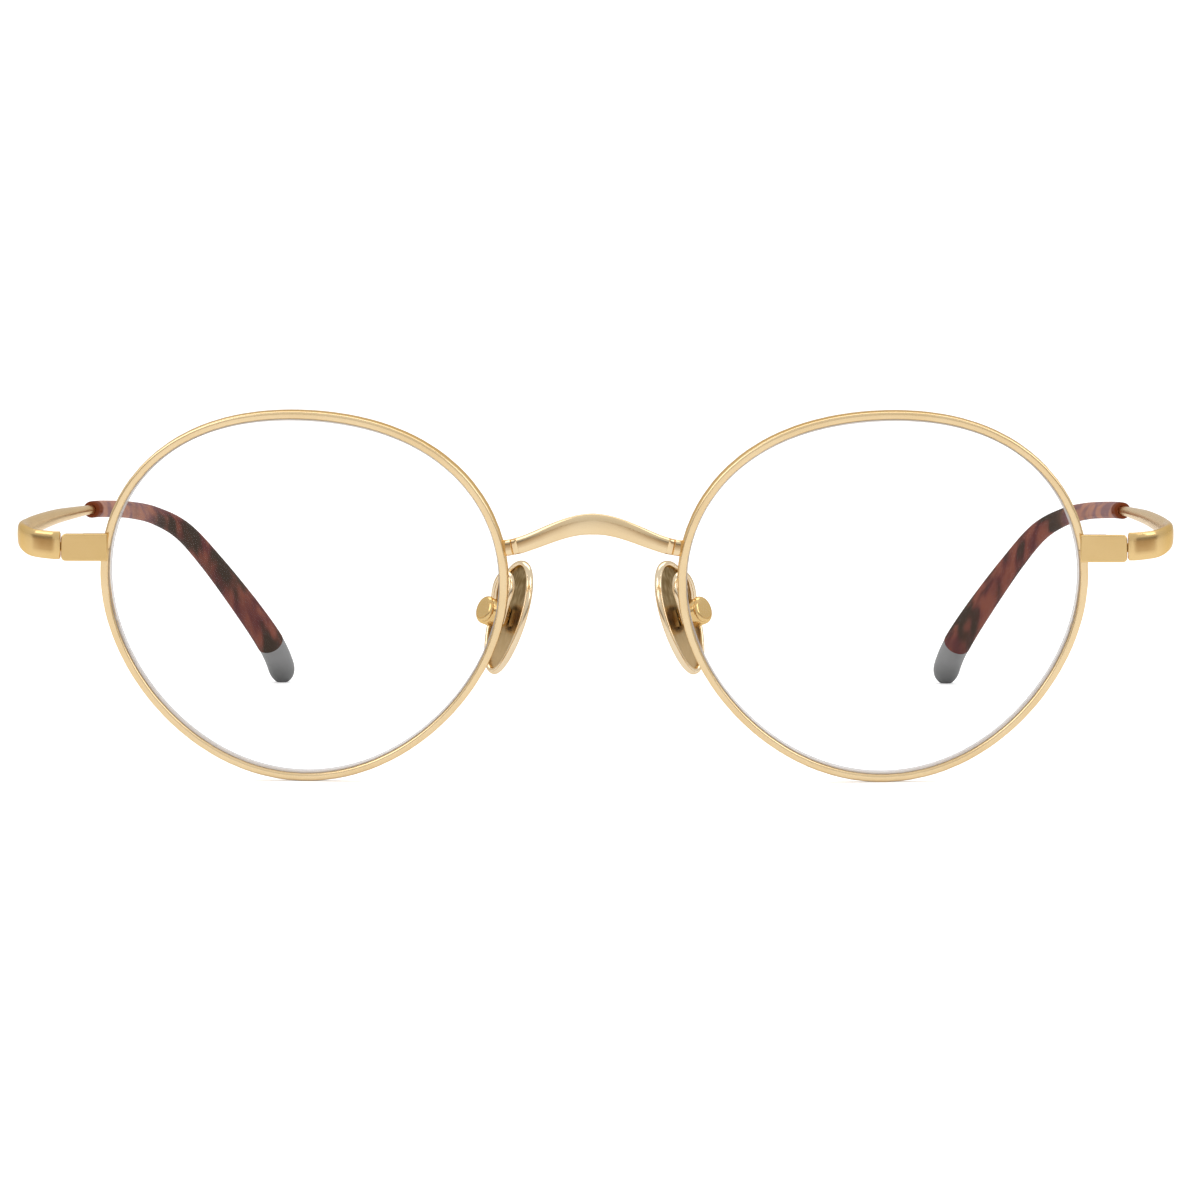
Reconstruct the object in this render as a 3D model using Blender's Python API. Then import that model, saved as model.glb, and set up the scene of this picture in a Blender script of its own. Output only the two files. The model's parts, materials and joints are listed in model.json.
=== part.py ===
"""Round metal eyeglasses frame with folding temples and rocking nose pads.

Metres, +Z up. The frame stands open on its rim bottoms and tip caps. +X is the wearer's left,
the fronts of the rims face -Y, and the origin is below the middle of the bounding box.
"""

import math

import bmesh
import bpy
from mathutils import Matrix, Vector

MM = 0.001

# Front: two eyewires of one panto outline, leaning and wrapped round the face.
RIM_CENTRE_X = 34.24 * MM
RIM_CENTRE_Y = -66.721 * MM
RIM_CENTRE_Z = 22.785 * MM
RIM_MEAN_RADIUS = 23.22 * MM
PANTOSCOPIC_TILT = math.radians(7)
FACE_WRAP = math.radians(5)
RIM_WIDTH = 0.93 * MM
RIM_DEPTH = 1.75 * MM
GROOVE_DEPTH = 0.42 * MM
RIM_STEPS = 60
BRAZE_GAP = 0.03 * MM

# Demo lenses.
LENS_THICKNESS = 1.2 * MM
LENS_CURVE_RADIUS = 120 * MM
LENS_GROOVE_GAP = 0.06 * MM

# Hinge line, where the endpiece block meets the temple.
HINGE_X = 61.7 * MM
HINGE_Y = RIM_CENTRE_Y + 2.15 * MM
HINGE_Z = 27.9 * MM
HINGE_HEIGHT = 2.9 * MM
BARREL_RADIUS = 1.1 * MM
MIDDLE_RADIUS = 0.85 * MM
MIDDLE_HEIGHT = 1.0 * MM
HINGE_SCREW_RADIUS = 0.45 * MM
RUNNING_GAP = 0.05 * MM

# Endpiece block and the rim lock behind it.
LUG_INNER_X = 57.35 * MM
LUG_OUTER_X = 62.87 * MM
LUG_HEIGHT = 3.2 * MM
LUG_FRONT = RIM_CENTRE_Y - 0.45 * MM
LUG_REAR = RIM_CENTRE_Y + 0.95 * MM
LOCK_OUTER_X = 60.55 * MM
LOCK_SCREW_X = 59.6 * MM
LOCK_SCREW_RADIUS = 0.4 * MM

# Bridge.
BRIDGE_END_Z = 28.05 * MM
BRIDGE_RISE = 2.95 * MM
BRIDGE_SPAN = 10.6 * MM
BRIDGE_BOW = 1.9 * MM
BRIDGE_END_Y = RIM_CENTRE_Y - 2.65 * MM
BRIDGE_HALF_THICKNESS = 0.6 * MM
BRIDGE_HALF_HEIGHT = 1.25 * MM
BRIDGE_END_HALF_HEIGHT = 0.98 * MM

# Nose pads: a dished metal plate on a boxed screw, held by a bent strip.
PAD_CENTRE = Vector((10.1, 0, 19.3)) * MM + Vector((0, RIM_CENTRE_Y + 4.6 * MM, 0))
PAD_HEIGHT = 14.0 * MM
PAD_WIDTH = 7.4 * MM
PAD_SPLAY = math.radians(35)
PAD_FRONTAL = math.radians(18)
BOX_RADIUS = 1.78 * MM
BOX_END_RADIUS = 1.66 * MM
BOX_LENGTH = 2.9 * MM
PAD_SCREW_RADIUS = 0.4 * MM
PAD_SCREW_BEHIND = 1.75 * MM
BOX_BEHIND_SCREW = 0.75 * MM

# Temple: a flat band at the hinge, then a strip that narrows to a round wire inside the sleeve.
BAND_HEIGHT = 3.3 * MM
BAND_THICKNESS = 1.1 * MM
SHAFT_HALF_HEIGHT = 1.22 * MM
SHAFT_HALF_THICKNESS = 0.6 * MM
CORNER_LENGTH = 14 * MM
SHAFT_LENGTH = 64 * MM
WIRE_RADIUS = 0.62 * MM
BORE_GAP = 0.04 * MM
JOINT_GAP = 0.03 * MM

GOLD = (0.83, 0.63, 0.32)
PAD_GOLD = (0.76, 0.58, 0.33)
STEEL = (0.72, 0.56, 0.33)
GLASS = (0.93, 0.96, 0.96)
TORTOISE = (0.24, 0.05, 0.04)
GREY = (0.40, 0.42, 0.44)

FULL_TURN = 2 * math.pi


# ---------------------------------------------------------------- scene helpers

def clear_scene():
    for obj in list(bpy.data.objects):
        bpy.data.objects.remove(obj, do_unlink=True)


def new_collection(name):
    collection = bpy.data.collections.new(name)
    bpy.context.scene.collection.children.link(collection)
    return collection


def make_material(name, colour, roughness, metallic):
    material = bpy.data.materials.new(name)
    material.use_nodes = True
    shader = material.node_tree.nodes["Principled BSDF"]
    shader.inputs["Base Color"].default_value = (*colour, 1)
    shader.inputs["Roughness"].default_value = roughness
    shader.inputs["Metallic"].default_value = metallic
    material.diffuse_color = (*colour, 1)
    return material


def add_object(name, data, collection, material=None):
    obj = bpy.data.objects.new(name, data)
    collection.objects.link(obj)
    if material:
        data.materials.append(material)
    return obj


def as_tool(obj):
    """Marks an object as a cutter or a guide, which is no part of the frame."""
    obj.hide_render = True
    obj.display_type = "WIRE"
    return obj


def mesh_from(bm, name):
    bmesh.ops.recalc_face_normals(bm, faces=bm.faces)
    mesh = bpy.data.meshes.new(name)
    bm.to_mesh(mesh)
    bm.free()
    mesh.shade_smooth()
    mesh.set_sharp_from_angle(angle=math.radians(35))
    return mesh


def boolean(obj, other, operation="DIFFERENCE"):
    modifier = obj.modifiers.new(other.name, "BOOLEAN")
    modifier.operation = operation
    modifier.solver = "EXACT"
    modifier.object = other


# ---------------------------------------------------------------- shape helpers

def box_mesh(name, low, high):
    """A box between two corners."""
    low = Vector(low)
    high = Vector(high)
    bm = bmesh.new()
    bmesh.ops.create_cube(bm, size=1, matrix=Matrix.Translation((low + high) / 2)
                          @ Matrix.Diagonal((*(high - low), 1)))
    return mesh_from(bm, name)


def cylinder_mesh(name, centre, axis, radius, length, sides=16, end_radius=None):
    """A cylinder, or a cone, whose middle is at centre."""
    turn = Vector(axis).to_track_quat("Z", "Y").to_matrix().to_4x4()
    bm = bmesh.new()
    bmesh.ops.create_cone(bm, cap_ends=True, segments=sides, radius1=radius, depth=length,
                          radius2=radius if end_radius is None else end_radius,
                          matrix=Matrix.Translation(centre) @ turn)
    return mesh_from(bm, name)


def loft_mesh(name, rings):
    """A closed solid through a chain of rings with equal point counts, capped at both ends."""
    bm = bmesh.new()
    loops = [[bm.verts.new(point) for point in ring] for ring in rings]
    for near, far in zip(loops, loops[1:]):
        for i in range(len(near)):
            j = (i + 1) % len(near)
            bm.faces.new((near[i], near[j], far[j], far[i]))
    bm.faces.new(loops[0])
    bm.faces.new(loops[-1])
    return mesh_from(bm, name)


def smooth_path(points, per_span):
    """Points along the Catmull-Rom curve through the given points."""
    ends = [2 * points[0] - points[1], *points, 2 * points[-1] - points[-2]]
    path = []
    for a, b, c, d in zip(ends, ends[1:], ends[2:], ends[3:]):
        for step in range(per_span):
            t = step / per_span
            path.append(0.5 * (2 * b + (c - a) * t + (2 * a - 5 * b + 4 * c - d) * t * t
                               + (3 * b - a - 3 * c + d) * t ** 3))
    path.append(points[-1])
    return path


def tangents(path):
    inner = [(after - before).normalized() for before, after in zip(path, path[2:])]
    return [(path[1] - path[0]).normalized(), *inner, (path[-1] - path[-2]).normalized()]


def section(centre, tangent, half_thick, half_high, sides=12, squareness=1.0, up=Vector((0, 0, 1))):
    """A ring across a path: an ellipse, or nearer a rectangle as squareness falls below 1."""
    across = tangent.cross(up).normalized()
    upward = across.cross(tangent)
    ring = []
    for k in range(sides):
        angle = FULL_TURN * (k + 0.5) / sides
        c = math.copysign(abs(math.cos(angle)) ** squareness, math.cos(angle))
        s = math.copysign(abs(math.sin(angle)) ** squareness, math.sin(angle))
        ring.append(centre + across * half_thick * c + upward * half_high * s)
    return ring


def between(a, b, t):
    t = min(max(t, 0), 1)
    return a + (b - a) * t


# ---------------------------------------------------------------- the eyewire's own plane

def outline_radius(angle):
    """Outer edge of the eyewire: 0 is towards the temple, a quarter turn is up."""
    wave = 0.99 * math.cos(2 * angle) + 0.06 * math.sin(2 * angle)
    wave += 0.65 * math.sin(3 * angle) - 0.11 * math.cos(3 * angle)
    return RIM_MEAN_RADIUS + wave * MM


def outline_point(angle, inset):
    radius = outline_radius(angle) - inset
    return Vector((radius * math.cos(angle), radius * math.sin(angle), 0))


def rim_plane():
    """From the eyewire's plane (x to the temple, y up, z forward) to the world, on the left."""
    lean = Matrix.Rotation(math.radians(90) + PANTOSCOPIC_TILT, 4, "X")
    wrap = Matrix.Rotation(FACE_WRAP, 4, "Z")
    return Matrix.Translation((RIM_CENTRE_X, RIM_CENTRE_Y, RIM_CENTRE_Z)) @ wrap @ lean


def split_angle():
    """Where the eyewire is cut, level with the hinge."""
    height = (HINGE_Z - RIM_CENTRE_Z) / math.cos(PANTOSCOPIC_TILT)
    return math.asin(height / outline_radius(math.radians(10)))


def profile_curve(name, points, collection):
    curve = bpy.data.curves.new(name, "CURVE")
    curve.dimensions = "2D"
    spline = curve.splines.new("POLY")
    spline.points.add(len(points) - 1)
    for target, (x, y) in zip(spline.points, points):
        target.co = (x, y, 0, 1)
    spline.use_cyclic_u = True
    return as_tool(add_object(name, curve, collection))


def eyewire_section():
    """Half width and half depth of the wire, domed in front, with the lens groove inside."""
    w = RIM_WIDTH / 2
    d = RIM_DEPTH / 2
    groove = d * 0.56
    return [(w, 0.70 * d), (w, -0.85 * d), (0.7 * w, -d), (-0.8 * w, -d), (-w, -0.9 * d),
            (-w, -groove), (-w + GROOVE_DEPTH, 0), (-w, groove), (-w, 0.8 * d),
            (-0.45 * w, d), (0.35 * w, d)]


def swept_outline(name, profile, inset, gap, collection, material=None):
    """A mesh swept round the eyewire's outline, with a gap at the split, or closed if gap is 0."""
    start = split_angle()
    half_gap = gap / 2 / RIM_MEAN_RADIUS
    angles = [start + FULL_TURN * k / RIM_STEPS for k in range(RIM_STEPS)]
    if gap:
        angles = [start + half_gap, *angles[1:], start + FULL_TURN - half_gap]
    curve = bpy.data.curves.new(name, "CURVE")
    curve.dimensions = "3D"
    curve.twist_mode = "Z_UP"
    curve.bevel_mode = "OBJECT"
    curve.bevel_object = profile
    curve.use_fill_caps = bool(gap)
    spline = curve.splines.new("POLY")
    spline.points.add(len(angles) - 1)
    for target, angle in zip(spline.points, angles):
        target.co = (*outline_point(angle, inset), 1)
    spline.use_cyclic_u = not gap
    guide = add_object(name + "_curve", curve, collection)
    bpy.context.view_layer.update()
    graph = bpy.context.evaluated_depsgraph_get()
    mesh = bpy.data.meshes.new_from_object(guide.evaluated_get(graph))
    bpy.data.objects.remove(guide)
    bm = bmesh.new()
    bm.from_mesh(mesh)
    bmesh.ops.remove_doubles(bm, verts=bm.verts, dist=0.001 * MM)
    bmesh.ops.transform(bm, matrix=rim_plane(), verts=bm.verts)
    return add_object(name, mesh_from(bm, name), collection, material)


def make_rim(parts, tools, gold):
    profile = profile_curve("eyewire_section", eyewire_section(), tools)
    return swept_outline("rim_left", profile, RIM_WIDTH / 2, 0.12 * MM, parts, gold)


def make_rim_cutter(tools):
    """The eyewire's outside, a braze gap larger all round, which the brazed pieces are cut to."""
    w = RIM_WIDTH / 2 + BRAZE_GAP
    d = RIM_DEPTH / 2 + BRAZE_GAP
    square = [(w, d), (w, -d), (-w, -d), (-w, d)]
    profile = profile_curve("eyewire_clearance", square, tools)
    return as_tool(swept_outline("rim_cutter", profile, RIM_WIDTH / 2, 0, tools))


def make_lens(parts, glass):
    """A meniscus lens, edged to the groove with a V bevel all round."""
    half = LENS_THICKNESS / 2
    apex = RIM_WIDTH - GROOVE_DEPTH + LENS_GROOVE_GAP
    slope = GROOVE_DEPTH / (RIM_DEPTH / 2 * 0.56)
    shoulder = apex + half * slope
    start = split_angle()
    angles = [start + FULL_TURN * k / RIM_STEPS for k in range(RIM_STEPS)]

    def dome(radius):
        edge = RIM_MEAN_RADIUS - shoulder
        return (edge ** 2 - radius ** 2) / (2 * LENS_CURVE_RADIUS)

    def ring(inset, share, height):
        points = []
        for angle in angles:
            point = outline_point(angle, inset) * share
            point.z = height + (dome(point.length) if share < 1 else 0)
            points.append(rim_plane() @ point)
        return points

    shares = (0.08, 0.4, 0.75)
    front = [ring(shoulder, share, half) for share in shares]
    back = [ring(shoulder, share, -half) for share in reversed(shares)]
    edge = [ring(shoulder, 1, half), ring(apex, 1, 0), ring(shoulder, 1, -half)]
    return add_object("lens_left", loft_mesh("lens_left", front + edge + back), parts, glass)


# ---------------------------------------------------------------- endpiece, rim lock and hinge

def make_endpiece(parts, rim_cutter, gold):
    """The block brazed over the front of the eyewire, stepped back outside it."""
    step_x = LUG_INNER_X + 1.4 * MM
    plan = [(LUG_INNER_X, LUG_FRONT + 0.15 * MM), (LUG_INNER_X + 0.15 * MM, LUG_FRONT),
            (LUG_OUTER_X - 0.5 * MM, LUG_FRONT), (LUG_OUTER_X - 0.12 * MM, LUG_FRONT + 0.18 * MM),
            (LUG_OUTER_X, LUG_FRONT + 0.5 * MM), (LUG_OUTER_X, LUG_REAR), (step_x, LUG_REAR),
            (step_x, LUG_FRONT + 1.0 * MM), (LUG_INNER_X, LUG_FRONT + 1.0 * MM)]
    half = LUG_HEIGHT / 2
    inset = 0.14 * MM
    middle = Vector((sum(x for x, y in plan), sum(y for x, y in plan), 0)) / len(plan)
    rings = []
    for height, share in ((-half, 0.95), (inset - half, 1), (half - inset, 1), (half, 0.95)):
        rings.append([middle + (Vector((x, y, 0)) - middle) * share
                      + Vector((0, 0, HINGE_Z + height)) for x, y in plan])
    block = add_object("endpiece_left", loft_mesh("endpiece_left", rings), parts, gold)
    boolean(block, rim_cutter)
    return block


def make_lock_blocks(parts, tools, rim_cutter, gold):
    """Two blocks on the ends of the split eyewire, drawn together by a screw from below."""
    front = LUG_REAR + JOINT_GAP
    rear = front + 2.1 * MM
    inner = LUG_INNER_X + 0.6 * MM
    screw_at = Vector((LOCK_SCREW_X, (front + rear) / 2, HINGE_Z))
    bore = add_object("lock_bore", cylinder_mesh(
        "lock_bore", screw_at, (0, 0, 1), LOCK_SCREW_RADIUS + BRAZE_GAP, 2 * LUG_HEIGHT), tools)
    head_room = add_object("lock_head_room", cylinder_mesh(
        "lock_head_room", screw_at - Vector((0, 0, 1.55 * MM)), (0, 0, 1), 0.74 * MM, 1.04 * MM), tools)
    upper = add_object("lock_block_upper_left", box_mesh(
        "lock_block_upper_left", (inner, front, HINGE_Z + 0.06 * MM),
        (LOCK_OUTER_X, rear, HINGE_Z + 1.5 * MM)), parts, gold)
    lower = add_object("lock_block_lower_left", box_mesh(
        "lock_block_lower_left", (inner, front, HINGE_Z - 1.5 * MM),
        (LOCK_OUTER_X, rear, HINGE_Z - 0.06 * MM)), parts, gold)
    for block in (upper, lower):
        boolean(block, rim_cutter)
        boolean(block, as_tool(bore))
    boolean(lower, as_tool(head_room))
    return [upper, lower], screw_at


def make_screw(name, head_end, axis, radius, length, head_radius, head_height, parts, tools, metal):
    """A slotted screw. Its head's top is at head_end, and axis points out of the head."""
    axis = Vector(axis).normalized()
    shaft = add_object(name, cylinder_mesh(
        name, head_end - axis * (length / 2 + head_height / 2), axis, radius,
        length - head_height), parts, metal)
    head = add_object(name + "_head", cylinder_mesh(
        name + "_head", head_end - axis * head_height * 0.6, axis, head_radius,
        head_height * 1.2), tools)
    side = axis.orthogonal().normalized()
    turn = Matrix((side, axis.cross(side), axis)).transposed().to_4x4()
    bm = bmesh.new()
    slot_size = (3 * head_radius, 0.22 * MM, head_height)
    bmesh.ops.create_cube(bm, size=1, matrix=Matrix.Translation(head_end) @ turn
                          @ Matrix.Diagonal((*slot_size, 1)))
    slot = add_object(name + "_slot", mesh_from(bm, name + "_slot"), tools)
    boolean(shaft, as_tool(head), "UNION")
    boolean(shaft, as_tool(slot))
    return shaft


def make_hinge_front(parts, tools, gold):
    """Two knuckles on a common leaf, brazed behind the endpiece."""
    axis_at = Vector((HINGE_X, HINGE_Y, HINGE_Z))
    leaf_front = LUG_REAR + JOINT_GAP
    name = "hinge_front_left"
    knuckle = add_object(name, cylinder_mesh(
        name, axis_at, (0, 0, 1), BARREL_RADIUS, HINGE_HEIGHT, 20), parts, gold)
    leaf = add_object("hinge_leaf", box_mesh(
        "hinge_leaf", (HINGE_X - BARREL_RADIUS * 0.9, leaf_front, HINGE_Z - HINGE_HEIGHT / 2),
        (HINGE_X + BARREL_RADIUS * 0.9, HINGE_Y, HINGE_Z + HINGE_HEIGHT / 2)), tools)
    half_slot = MIDDLE_HEIGHT / 2 + RUNNING_GAP
    slot = add_object("hinge_slot", box_mesh(
        "hinge_slot", (HINGE_X - 3 * MM, HINGE_Y - MIDDLE_RADIUS - RUNNING_GAP, HINGE_Z - half_slot),
        (HINGE_X + 3 * MM, HINGE_Y + 3 * MM, HINGE_Z + half_slot)), tools)
    bore = add_object("hinge_bore", cylinder_mesh(
        "hinge_bore", axis_at, (0, 0, 1), HINGE_SCREW_RADIUS + BRAZE_GAP, 2 * HINGE_HEIGHT), tools)
    head_room = add_object("hinge_head_room", cylinder_mesh(
        "hinge_head_room", axis_at + Vector((0, 0, HINGE_HEIGHT / 2)), (0, 0, 1),
        0.79 * MM, 0.98 * MM), tools)
    boolean(knuckle, as_tool(leaf), "UNION")
    for tool in (slot, bore, head_room):
        boolean(knuckle, as_tool(tool))
    screw = make_screw("hinge_screw_left", axis_at + Vector((0, 0, HINGE_HEIGHT / 2)), (0, 0, 1),
                       HINGE_SCREW_RADIUS, HINGE_HEIGHT, 0.75 * MM, 0.38 * MM, parts, tools, gold)
    return [knuckle, screw]


def make_hinge_temple(parts, tools, gold):
    """The middle knuckle and the tang that carries it, brazed inside the temple's band."""
    axis_at = Vector((HINGE_X, HINGE_Y, HINGE_Z))
    half = MIDDLE_HEIGHT / 2
    name = "hinge_temple_left"
    barrel = add_object(name, cylinder_mesh(
        name, axis_at, (0, 0, 1), MIDDLE_RADIUS, MIDDLE_HEIGHT, 20), parts, gold)
    arm_front = HINGE_Y - MIDDLE_RADIUS + 0.02 * MM
    arm = add_object("tang_arm", box_mesh(
        "tang_arm", (HINGE_X, arm_front, HINGE_Z - half),
        (HINGE_X + 2.9 * MM, HINGE_Y + 0.6 * MM, HINGE_Z + half)), tools)
    foot = add_object("tang_foot", box_mesh(
        "tang_foot", (LUG_OUTER_X + 0.1 * MM, LUG_FRONT + BAND_THICKNESS + 0.25 * MM, HINGE_Z - half),
        (HINGE_X + 2.6 * MM, HINGE_Y, HINGE_Z + half)), tools)
    bore = add_object("tang_bore", cylinder_mesh(
        "tang_bore", axis_at, (0, 0, 1), HINGE_SCREW_RADIUS + RUNNING_GAP, 2 * HINGE_HEIGHT), tools)
    boolean(barrel, as_tool(arm), "UNION")
    boolean(barrel, as_tool(foot), "UNION")
    boolean(barrel, as_tool(bore))
    return barrel


# ---------------------------------------------------------------- temple, sleeve and tip cap

def temple_route():
    """From the butt face beside the endpiece, round the corner, back, and down behind the ear."""
    route = [(62.96, 0.10, 28.15), (64.0, 0.13, 28.17), (66.3, 1.25, 28.4), (67.85, 4.4, 28.9),
             (68.4, 9, 29.2), (68.5, 20, 29.3), (68.4, 42, 28.95), (68.2, 60, 28.4),
             (67.75, 80, 27.7), (66.4, 87, 27.4), (64.0, 96, 26.7), (61.4, 103, 25.5),
             (58.35, 110, 23.0), (55.15, 118, 18.2), (51.1, 127, 11.3), (48.3, 133.6, 5.9),
             (47.0, 136.3, 2.36), (46.9, 137.95, 0.06)]
    return [Vector((x, y, z)) * MM + Vector((0, RIM_CENTRE_Y, 0)) for x, y, z in route]


MOUTH = 8
CAP = 15
CAP_RADIUS = 1.92 * MM
CAP_LEAST_SHARE = 0.04
PER_SPAN = 2
CORE_ROOM = 0.3 * MM

# The sleeve's outer radius at distances behind the rims' centres, both in mm.
SLEEVE_RADII = ((80, 1.1), (94, 1.12), (103, 1.2), (110, 1.36), (118, 1.5), (127, 1.78), (133.6, 1.92))


def sleeve_radius(point):
    behind = (point.y - RIM_CENTRE_Y) / MM
    for (near, thin), (far, thick) in zip(SLEEVE_RADII, SLEEVE_RADII[1:]):
        if behind <= far:
            break
    return between(thin, thick, (behind - near) / (far - near)) * MM


def make_temple(parts, gold):
    """A flat band that narrows to a round wire and runs on as the core of the sleeve."""
    route = temple_route()
    path = smooth_path(route, PER_SPAN)
    directions = tangents(path)
    last = (CAP - 1) * PER_SPAN
    rings = []
    for k in range(last + 1):
        behind = path[k].y - RIM_CENTRE_Y
        taper = behind / CORNER_LENGTH
        thin = between(BAND_THICKNESS / 2, SHAFT_HALF_THICKNESS, taper)
        high = between(BAND_HEIGHT / 2, SHAFT_HALF_HEIGHT, taper)
        to_wire = (behind - CORNER_LENGTH) / SHAFT_LENGTH
        thin = between(thin, WIRE_RADIUS, to_wire)
        high = between(high, WIRE_RADIUS, to_wire)
        rings.append(section(path[k], directions[k], thin, high, 12, between(0.5, 1, taper)))
    return add_object("temple_left", loft_mesh("temple_left", rings), parts, gold)


def make_sleeve(parts, acetate):
    """A tortoise tube, open at its mouth, bored for the temple's wire and closed by the cap."""
    path = smooth_path(temple_route(), PER_SPAN)
    directions = tangents(path)
    first = MOUTH * PER_SPAN
    core_end = (CAP - 1) * PER_SPAN
    last = CAP * PER_SPAN
    outer = []
    for k in range(last, first - 1, -1):
        radius = sleeve_radius(path[k])
        outer.append(section(path[k], directions[k], radius, radius))
    bore = WIRE_RADIUS + BORE_GAP
    inner = [section(path[k], directions[k], bore, bore) for k in range(first, core_end + 1)]
    gap = directions[core_end] * CORE_ROOM
    inner.append([point + gap for point in inner[-1]])
    return add_object("sleeve_left", loft_mesh("sleeve_left", outer + inner), parts, acetate)


def make_tip_cap(parts, grey):
    """The grey claw that closes the sleeve, rounds off, and stands on a small flat."""
    steps = 8
    path = smooth_path(temple_route()[CAP - 1:], steps)
    directions = tangents(path)
    start = steps
    dome = 2 * steps
    rings = []
    for k in range(start, len(path)):
        share = max(k - dome, 0) / steps
        radius = CAP_RADIUS * math.sqrt(max(1 - share ** 2, CAP_LEAST_SHARE))
        centre = path[k] + (directions[k] * JOINT_GAP if k == start else Vector())
        ring = section(centre, directions[k], radius, radius)
        rings.append([Vector((p.x, p.y, max(p.z, 0))) for p in ring])
    return add_object("tip_cap_left", loft_mesh("tip_cap_left", rings), parts, grey)


# ---------------------------------------------------------------- bridge

def bridge_height(x):
    """Rise of the saddle's middle line above its ends."""
    share = min(abs(x) / BRIDGE_SPAN, 1)
    return BRIDGE_RISE * (0.5 + 0.5 * math.cos(math.pi * share)) ** 0.85


def make_bridge(parts, tools, cutters, gold):
    steps = 20
    reach = BRIDGE_SPAN
    centres = []
    for k in range(steps + 1):
        x = reach * (2 * k / steps - 1)
        bow = BRIDGE_BOW * (1 - (x / reach) ** 2)
        centres.append(Vector((x, BRIDGE_END_Y - bow, BRIDGE_END_Z + bridge_height(x))))
    directions = tangents(centres)
    rings = []
    for centre, direction in zip(centres, directions):
        share = abs(centre.x) / reach
        high = between(BRIDGE_HALF_HEIGHT, BRIDGE_END_HALF_HEIGHT, share * 1.4)
        rings.append(section(centre, direction, BRIDGE_HALF_THICKNESS, high, 12, 0.6))
    bridge = add_object("bridge", loft_mesh("bridge", rings), parts, gold)
    for cutter in cutters:
        boolean(bridge, cutter)
    return bridge


# ---------------------------------------------------------------- nose pads

def pad_plane():
    """From the pad's plane (x across, y along, z to the nose) to the world, on the left."""
    nose = Vector((-math.cos(PAD_SPLAY), math.sin(PAD_SPLAY), 0))
    across = Vector((math.sin(PAD_SPLAY), math.cos(PAD_SPLAY), 0))
    turn = Matrix((across, nose.cross(across), nose)).transposed().to_4x4()
    tip = Matrix.Rotation(-PAD_FRONTAL, 4, across)
    return Matrix.Translation(PAD_CENTRE) @ tip @ turn


def make_pad(parts, gold):
    """A dished plate with a rounded border, hollow towards the lens."""
    steps = 28
    plane = pad_plane()

    def ring(inset, share, depth):
        points = []
        for k in range(steps):
            angle = FULL_TURN * k / steps
            narrow = 1 - 0.10 * math.sin(angle)
            x = (PAD_WIDTH / 2 * narrow - inset) * math.cos(angle) * share
            y = (PAD_HEIGHT / 2 - inset) * math.sin(angle) * share
            points.append(plane @ Vector((x, y, depth)))
        return points

    border = 0.75 * MM
    rings = [ring(border, 0.1, -0.25 * MM), ring(border, 0.9, -0.2 * MM), ring(border * 0.9, 1, -0.5 * MM),
             ring(border * 0.45, 1, -0.68 * MM), ring(border * 0.08, 1, -0.4 * MM), ring(0, 1, -0.05 * MM),
             ring(border * 0.3, 1, 0.22 * MM), ring(border, 1, 0.33 * MM), ring(border, 0.1, 0.36 * MM)]
    return add_object("nose_pad_left", loft_mesh("nose_pad_left", rings), parts, gold)


def pad_axes():
    """The pad screw's centre, the direction along it, and the direction to the nose."""
    plane = pad_plane().to_3x3()
    across = plane @ Vector((1, 0, 0))
    nose = plane @ Vector((0, 0, 1))
    return PAD_CENTRE - nose * PAD_SCREW_BEHIND, across, nose


def plate(name, centre, across, nose, size, collection, material=None):
    """A box turned into the pad's directions. size is across, along the pad, and to the nose."""
    turn = Matrix((across, nose.cross(across), nose)).transposed().to_4x4()
    bm = bmesh.new()
    bmesh.ops.create_cube(bm, size=1, matrix=Matrix.Translation(centre) @ turn
                          @ Matrix.Diagonal((*size, 1)))
    return add_object(name, mesh_from(bm, name), collection, material)


def make_pad_mount(parts, tools, metal):
    """The lug on the pad, and the box, screw and arm that hold it."""
    screw_at, across, nose = pad_axes()
    lug = plate("pad_lug_left", screw_at + nose * 0.42 * MM, across, nose,
                (1.0 * MM, 2.0 * MM, 1.92 * MM), parts, metal)
    lug_bore = add_object("lug_bore", cylinder_mesh(
        "lug_bore", screw_at, across, PAD_SCREW_RADIUS + RUNNING_GAP, 4 * MM), tools)
    boolean(lug, as_tool(lug_bore))

    box_centre = screw_at - nose * BOX_BEHIND_SCREW
    box = add_object("pad_box_left", cylinder_mesh(
        "pad_box_left", box_centre, -nose, BOX_RADIUS, BOX_LENGTH, 20, BOX_END_RADIUS), parts, metal)
    mouth = plate("box_mouth", screw_at + nose * 0.7 * MM, across, nose,
                  (1.12 * MM, 2.9 * MM, 3.1 * MM), tools)
    box_bore = add_object("box_bore", cylinder_mesh(
        "box_bore", screw_at, across, PAD_SCREW_RADIUS + BRAZE_GAP, 8 * MM), tools)
    head_room = add_object("pad_head_room", cylinder_mesh(
        "pad_head_room", screw_at - across * 1.75 * MM, across, 0.7 * MM, 1.06 * MM), tools)
    for tool in (mouth, box_bore, head_room):
        boolean(box, as_tool(tool))
    screw = make_screw("pad_screw_left", screw_at - across * 1.62 * MM, -across, PAD_SCREW_RADIUS,
                       2.9 * MM, 0.66 * MM, 0.3 * MM, parts, tools, metal)
    return lug, box, screw


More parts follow.
